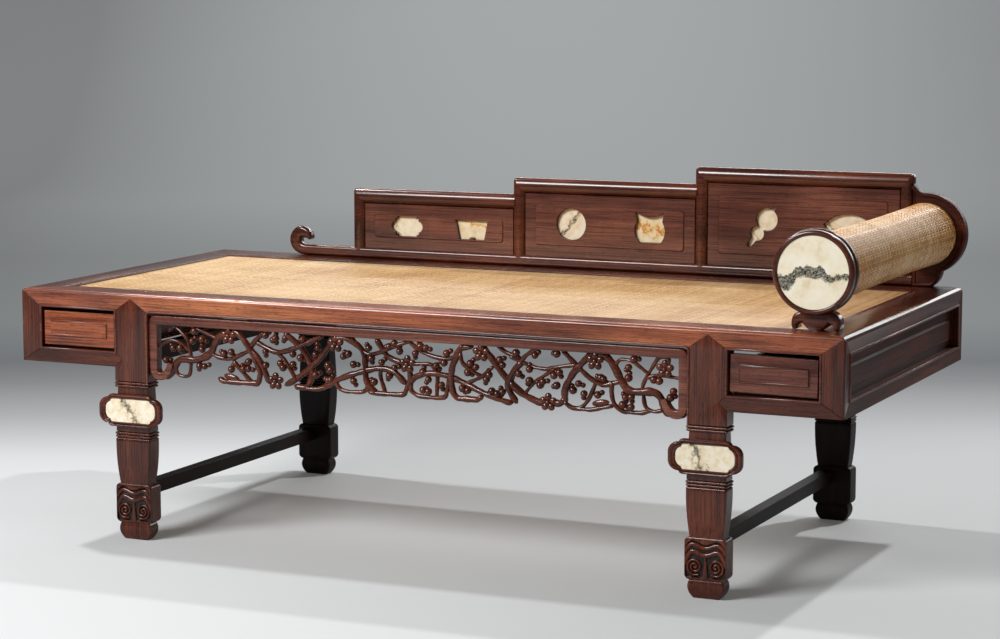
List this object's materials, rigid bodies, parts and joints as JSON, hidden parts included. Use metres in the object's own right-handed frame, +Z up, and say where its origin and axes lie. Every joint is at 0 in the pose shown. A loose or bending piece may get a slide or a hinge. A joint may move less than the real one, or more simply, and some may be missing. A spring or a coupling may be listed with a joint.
{
  "type": "luohan daybed",
  "caption": "Daybed with a cane seat over end boxes with drawers, plank legs, a carved openwork apron, a stepped back rail with marble insets and a round cane bolster.",
  "frame": {"origin": "on the floor, under the middle of the whole daybed's box", "axes": "+X along the seat towards the bolster, +Y from the drawers' face to the back rail, +Z up"},
  "size_m": [1.821, 0.846, 0.758],
  "materials": {
    "hardwood": "dark red-brown rosewood, oiled and rubbed to a satin polish",
    "inner_wood": "plain lighter wood, planed, unfinished",
    "cane": "fine woven rattan cane, aged honey yellow, slightly glossy",
    "marble": "cream marble with charcoal veining, polished"
  },
  "bodies": {
    "bed": {"apron_front": "hardwood", "apron_rear": "hardwood", "back_base_rail": "hardwood", "back_panel_high": "hardwood", "back_panel_low": "hardwood", "back_panel_middle": "hardwood", "back_pins": "inner_wood", "back_post_first": "hardwood", "back_post_fourth": "hardwood", "back_post_second": "hardwood", "back_post_third": "hardwood", "back_rail_high": "hardwood", "back_rail_low": "hardwood", "back_rail_middle": "hardwood", "bolster_cane": "cane", "bolster_foot": "hardwood", "bolster_frame": "inner_wood", "bolster_marble": "marble", "bolster_ring": "hardwood", "bottom_rail_end_left": "hardwood", "bottom_rail_end_right": "hardwood", "bottom_rail_front_left": "hardwood", "bottom_rail_front_right": "hardwood", "bottom_rails_rear": "hardwood", "cane_mat": "cane", "corner_post_front_left": "hardwood", "corner_post_front_right": "hardwood", "corner_posts_rear": "hardwood", "drawer_bearers": "inner_wood", "end_panel_left": "hardwood", "end_panel_right": "hardwood", "inner_side_rails": "hardwood", "inset_marbles_high": "marble", "inset_marbles_low": "marble", "inset_marbles_middle": "marble", "leg_front_left": "hardwood", "leg_front_right": "hardwood", "leg_rear_left": "hardwood", "leg_rear_right": "hardwood", "mat_strips": "hardwood", "plaque_frame_left": "hardwood", "plaque_frame_right": "hardwood", "plaque_marbles": "marble", "rear_panels": "inner_wood", "seat_battens": "inner_wood", "seat_rail_front": "hardwood", "seat_rail_left": "hardwood", "seat_rail_rear": "hardwood", "seat_rail_right": "hardwood", "stretcher_left": "hardwood", "stretcher_right": "hardwood", "wing_board": "hardwood"},
    "left_drawer": {"left_drawer_back": "inner_wood", "left_drawer_bottom": "inner_wood", "left_drawer_front": "hardwood", "left_drawer_sides": "inner_wood"},
    "right_drawer": {"right_drawer_back": "inner_wood", "right_drawer_bottom": "inner_wood", "right_drawer_front": "hardwood", "right_drawer_sides": "inner_wood"}
  },
  "joints": [
    {"name": "left_drawer_slide", "type": "slide", "parent": "bed", "child": "left_drawer", "axis": [0, -1, 0], "range_m": [0, 0.24]},
    {"name": "right_drawer_slide", "type": "slide", "parent": "bed", "child": "right_drawer", "axis": [0, -1, 0], "range_m": [0, 0.24]}
  ]
}
